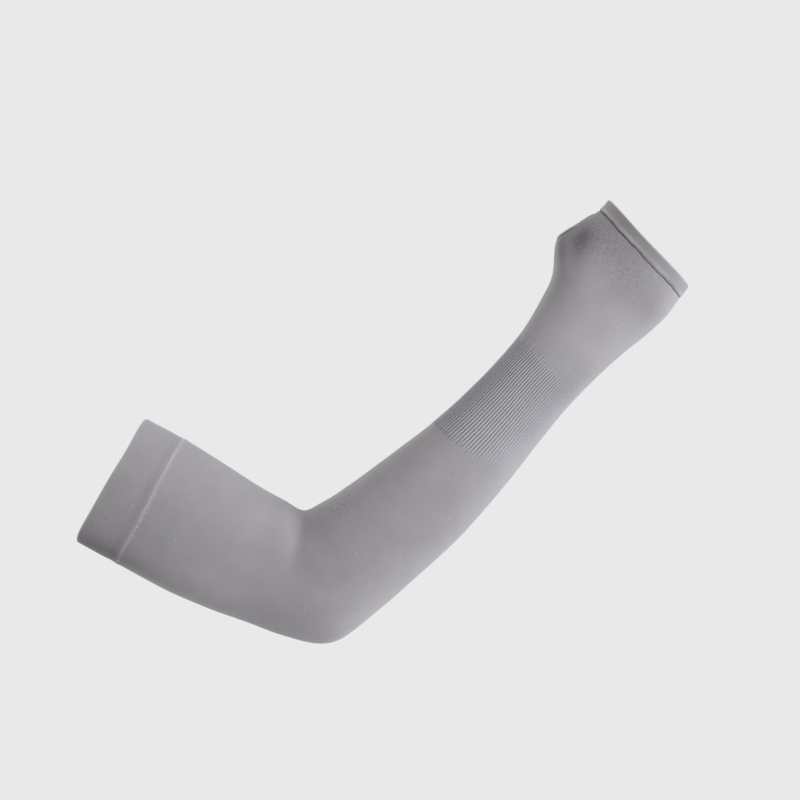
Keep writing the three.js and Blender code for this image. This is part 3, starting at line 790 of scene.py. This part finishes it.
def nylon_knit(name, light, dark, grain_share):
    """Fine nylon and elastane knit: matte, with a soft sheen at grazing angles, rows of tiny stitches
    that differ a little in tone, a few light flecks of lint, broad faint clouds, and the painted light
    and shade that each piece carries."""
    material = bpy.data.materials.new(name)
    material.use_nodes = True
    tree = material.node_tree
    shader = tree.nodes["Principled BSDF"]
    stitches = node(tree, "ShaderNodeUVMap", {"uv_map": "stitches"}).outputs[0]
    place = node(tree, "ShaderNodeTexCoord").outputs["Object"]
    # One wave for each wale and one for each course
    wales = node(tree, "ShaderNodeTexWave", {"bands_direction": "X"},
                 {"Vector": stitches, "Scale": math.pi / 10}).outputs["Fac"]
    courses = node(tree, "ShaderNodeTexWave", {"bands_direction": "Y"},
                   {"Vector": stitches, "Scale": math.pi / 10}).outputs["Fac"]
    stitch_top = node(tree, "ShaderNodeMath", {"operation": "MULTIPLY"},
                      {0: wales, 1: courses}).outputs[0]
    # Rows of courses, grain from stitch to stitch, and clouds
    rows = node(tree, "ShaderNodeMapping", None, {"Vector": stitches, "Scale": ROW_CELLS}).outputs[0]
    row = node(tree, "ShaderNodeTexNoise", None,
               {"Vector": rows, "Scale": 1.0, "Detail": 2.0}).outputs["Fac"]
    grain = node(tree, "ShaderNodeTexNoise", None,
                 {"Vector": stitches, "Scale": GRAIN_CELLS, "Detail": 2.0}).outputs["Fac"]
    cloud = node(tree, "ShaderNodeTexNoise", None,
                 {"Vector": place, "Scale": CLOUD_CELLS, "Detail": 2.0}).outputs["Fac"]
    parts = node(tree, "ShaderNodeCombineXYZ", None, {"X": row, "Y": grain, "Z": cloud}).outputs[0]
    yarn = node(tree, "ShaderNodeVectorMath", {"operation": "DOT_PRODUCT"},
                {0: parts, 1: (ROW_TONE, grain_share, CLOUD_TONE)}).outputs["Value"]
    # Flecks of lint of about 2.5 by 1 mm, slanted across the rows
    cells = node(tree, "ShaderNodeMapping", None,
                 {"Vector": stitches, "Rotation": (0, 0, LINT_TURN), "Scale": LINT_CELLS}).outputs[0]
    cells = node(tree, "ShaderNodeTexVoronoi", {"voronoi_dimensions": "2D"},
                 {"Vector": cells, "Scale": 1.0}).outputs["Distance"]
    # A fleck adds its tone, and beside it the knit's mean tone comes to the middle of its two colours
    middle = 0.5 - (ROW_TONE + grain_share + CLOUD_TONE) / 2
    lint = node(tree, "ShaderNodeMapRange", None,
                {"Value": cells, "From Min": LINT_RADII[0], "From Max": LINT_RADII[1],
                 "To Min": middle + LINT_TONE, "To Max": middle}).outputs[0]
    # Ripples where the knit is slack
    ripples = node(tree, "ShaderNodeMapping", None, {"Vector": stitches, "Scale": RIPPLE_CELLS}).outputs[0]
    ripple = node(tree, "ShaderNodeTexNoise", None,
                  {"Vector": ripples, "Scale": 1.0, "Detail": 2.0}).outputs["Fac"]
    slack = node(tree, "ShaderNodeAttribute", {"attribute_name": "slack"}).outputs["Fac"]
    ripple = node(tree, "ShaderNodeMath", {"operation": "SUBTRACT"}, {0: ripple, 1: 0.5}).outputs[0]
    ripple = node(tree, "ShaderNodeMath", {"operation": "MULTIPLY"}, {0: ripple, 1: slack}).outputs[0]
    # The tone of each place, between the two colours and a little past them, with the painted light and
    # shade, and the dark first course, that each piece carries
    shade = node(tree, "ShaderNodeAttribute", {"attribute_name": "shade"}).outputs["Fac"]
    tone = node(tree, "ShaderNodeMath", {"operation": "ADD"}, {0: yarn, 1: shade}).outputs[0]
    tone = node(tree, "ShaderNodeMath", {"operation": "ADD"}, {0: tone, 1: lint}).outputs[0]
    # Painted highlight on stitch tops and painted shade between them, and painted light and shade on the
    # ripples
    tone = node(tree, "ShaderNodeMath", {"operation": "MULTIPLY_ADD"},
                {0: stitch_top, 1: STITCH_TOP_PAINTED_SHADING, 2: tone}).outputs[0]
    tone = node(tree, "ShaderNodeMath", {"operation": "MULTIPLY_ADD"},
                {0: ripple, 1: RIPPLE_PAINTED_SHADING, 2: tone}).outputs[0]
    colour = node(tree, "ShaderNodeMix", {"data_type": "RGBA", "clamp_factor": False},
                  {0: tone, 6: linear(dark), 7: linear(light)}).outputs[2]
    tree.links.new(colour, shader.inputs["Base Color"])
    # The relief of rows, grain, stitches and ripples
    relief = node(tree, "ShaderNodeVectorMath", {"operation": "DOT_PRODUCT"},
                  {0: parts, 1: (ROW_RELIEF, GRAIN_RELIEF, 0.0)}).outputs["Value"]
    relief = node(tree, "ShaderNodeMath", {"operation": "MULTIPLY_ADD"},
                  {0: stitch_top, 1: STITCH_TOP_RELIEF, 2: relief}).outputs[0]
    relief = node(tree, "ShaderNodeMath", {"operation": "MULTIPLY_ADD"},
                  {0: ripple, 1: RIPPLE_RELIEF, 2: relief}).outputs[0]
    bump = node(tree, "ShaderNodeBump", None,
                {"Height": relief, "Strength": 1.0, "Distance": MM}).outputs[0]
    tree.links.new(bump, shader.inputs["Normal"])
    shader.inputs["Roughness"].default_value = 0.85
    shader.inputs["Specular IOR Level"].default_value = 0.25
    shader.inputs["Sheen Weight"].default_value = 0.3
    shader.inputs["Sheen Roughness"].default_value = 0.45
    shader.inputs["Sheen Tint"].default_value = linear("#f8f6ff")
    return material


def flat_size(start, end):
    """The knit between two named sections, slit and laid flat: mean girth by length."""
    runs = np.linspace(RUN[start], RUN[end], GIRTH_ROWS)
    girths = [girth_lengths(run)[1][-1] for run in runs]
    return float(np.mean(girths)), float((RUN[end] - RUN[start]) * MM)


def dress(make, material):
    """Makes a piece, which stands for the solid of the same name, and gives it its finish."""
    piece = make()
    piece.name = f"{make.__name__}_cloth"
    piece.data.materials.clear()
    piece.data.materials.append(material)
    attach(piece, "root")
    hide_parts(make.__name__)
    return piece


def add_camera():
    """A camera on the palm side that sees the width of the view at the sleeve's middle."""
    place = MIDDLE + Vector((0, -VIEW_DISTANCE, 0))
    bpy.ops.object.camera_add(location=place, rotation=(math.pi / 2, 0, 0))
    camera = bpy.context.object
    camera.data.sensor_width = SENSOR_WIDTH
    camera.data.lens = SENSOR_WIDTH * VIEW_DISTANCE / VIEW_WIDTH
    bpy.context.scene.camera = camera


def add_light(name, place, size, energy, colour):
    """A large soft box that faces the sleeve."""
    aim = (MIDDLE - Vector(place)).to_track_quat("-Z", "Y")
    bpy.ops.object.light_add(type="AREA", location=place, rotation=aim.to_euler())
    light = bpy.context.object
    light.name = name
    light.data.shape = "DISK"
    light.data.size = size
    light.data.energy = energy
    light.data.color = linear(colour)[:3]


def add_world():
    """A pale even backdrop, which lights the sleeve less than it shows, and least from below."""
    world = bpy.data.worlds.new("studio")
    bpy.context.scene.world = world
    world.use_nodes = True
    tree = world.node_tree
    tree.nodes.clear()
    seen = node(tree, "ShaderNodeBackground", None,
                {"Color": linear("#e9e9e9"), "Strength": 1.0}).outputs[0]
    way = node(tree, "ShaderNodeTexCoord").outputs["Generated"]
    height = node(tree, "ShaderNodeSeparateXYZ", None, {0: way}).outputs["Z"]
    strength = node(tree, "ShaderNodeMapRange", None,
                    {"Value": height, "From Min": -1.0,
                     "To Min": FILL_BELOW, "To Max": FILL_ABOVE}).outputs[0]
    fill = node(tree, "ShaderNodeBackground", None,
                {"Color": linear("#eae7ea"), "Strength": strength}).outputs[0]
    direct = node(tree, "ShaderNodeLightPath").outputs["Is Camera Ray"]
    mix = node(tree, "ShaderNodeMixShader", None, {0: direct, 1: fill, 2: seen}).outputs[0]
    node(tree, "ShaderNodeOutputWorld", None, {"Surface": mix})


def add_floor():
    """A pale disc under the sleeve, whose rim fades into the backdrop."""
    deselect()
    bpy.ops.mesh.primitive_circle_add(vertices=96, radius=FLOOR_RADIUS, fill_type="NGON",
                                      location=(MIDDLE.x, 0, -FLOOR_DROP))
    floor = bpy.context.object
    floor.name = "floor"
    material = bpy.data.materials.new("matt_paper_floor")
    material.use_nodes = True
    tree = material.node_tree
    shader = tree.nodes["Principled BSDF"]
    shader.inputs["Base Color"].default_value = linear("#dedede")
    shader.inputs["Roughness"].default_value = 0.9
    place = node(tree, "ShaderNodeTexCoord").outputs["Object"]
    reach = node(tree, "ShaderNodeVectorMath", {"operation": "LENGTH"}, {0: place}).outputs["Value"]
    fade = node(tree, "ShaderNodeMapRange", {"interpolation_type": "SMOOTHSTEP"},
                {"Value": reach, "From Min": FLOOR_RADIUS * FLOOR_EVEN_SHARE, "From Max": FLOOR_RADIUS,
                 "To Min": 1.0, "To Max": 0.0}).outputs[0]
    tree.links.new(fade, shader.inputs["Alpha"])
    floor.data.materials.append(material)


add_camera()
add_world()
add_floor()
add_light("key", place=(1.49, -0.5, 0.12), size=1.3, energy=22.5, colour="#fafcff")
add_light("rim", place=(-1.1, 1.2, 0.5), size=1.2, energy=10, colour="#ffffff")
bpy.context.scene.view_settings.view_transform = "Standard"

# One mid grey for all: the plain and the doubled knit look smooth, the ribs grainier and a little
# bluer, and the seams' yarn lighter
PLAIN = nylon_knit("plain_nylon_knit", light="#a5a3a5", dark="#888688", grain_share=0.4)
DOUBLED = nylon_knit("doubled_nylon_knit", light="#a5a3a5", dark="#888688", grain_share=0.4)
RIBBED = nylon_knit("ribbed_nylon_knit", light="#a5a4a8", dark="#88868a", grain_share=1.1)
YARN = nylon_knit("seam_yarn", light="#aaa8aa", dark="#8b898b", grain_share=0.35)

cuff_cloth = dress(upper_cuff, DOUBLED)
seam_cloth = dress(cuff_seam, YARN)
tube_cloth = dress(arm_tube, PLAIN)
rib_cloth = dress(wrist_rib, RIBBED)
mitt_cloth = dress(hand_mitt, PLAIN)
hem_cloth = dress(hand_hem, DOUBLED)
edge_cloth = dress(thumb_edge, YARN)

flat_size("mouth", "cuff_seam")
flat_size("cuff_seam", "rib_start")
flat_size("rib_start", "rib_end")
flat_size("rib_end", "hem_seam")
